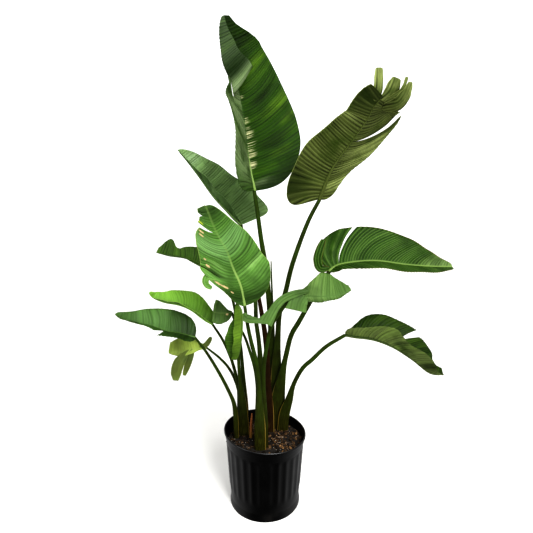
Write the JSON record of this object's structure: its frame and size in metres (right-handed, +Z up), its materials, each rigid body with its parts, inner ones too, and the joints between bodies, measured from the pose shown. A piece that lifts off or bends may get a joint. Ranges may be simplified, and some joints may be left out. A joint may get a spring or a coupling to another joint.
{
  "type": "potted bird of paradise plant",
  "caption": "Tall bird of paradise house plant with broad pleated, partly torn leaves on arching stalks, growing in a fluted round nursery pot.",
  "frame": {"origin": "centre of the pot's flat underside, where it rests on the floor", "axes": "+Z up, the plant's longest extent; -Y is the side seen first, +X to its right"},
  "size_m": [0.9454, 0.3805, 1.4404],
  "materials": {
    "leaf": "satin, leathery green leaf with parallel veins and a pale yellow-green midrib",
    "grey_leaf": "satin, grey-green leaf seen in side light",
    "olive_leaf": "matte olive leaf underside",
    "stalk": "smooth dark green leaf stalk",
    "dried_stem": "dry brown papery sheath",
    "pot_plastic": "satin black moulded plastic",
    "potting_mix": "loose dark bark and peat mix with chips and perlite"
  },
  "bodies": {
    "root": {"back_left_blade": "leaf", "back_left_stalk": "stalk", "dead_stub": "dried_stem", "dried_stalk": "dried_stem", "front_blade": "leaf", "front_stalk": "stalk", "hanging_blade": "leaf", "hanging_stalk": "stalk", "left_blade": "leaf", "left_stalk": "stalk", "lobed_blade": "olive_leaf", "lobed_stalk": "stalk", "lower_left_blade": "leaf", "lower_left_stalk": "stalk", "lower_right_blade": "leaf", "lower_right_stalk": "stalk", "pot": "pot_plastic", "potting_mix": "potting_mix", "right_blade": "leaf", "right_stalk": "stalk", "rolled_leaf": "stalk", "small_blade": "grey_leaf", "small_stalk": "stalk", "top_blade": "leaf", "top_stalk": "stalk", "torn_blade": "leaf", "torn_stalk": "stalk", "upper_left_blade": "grey_leaf", "upper_left_stalk": "stalk", "upper_right_blade": "olive_leaf", "upper_right_stalk": "stalk"}
  },
  "joints": []
}
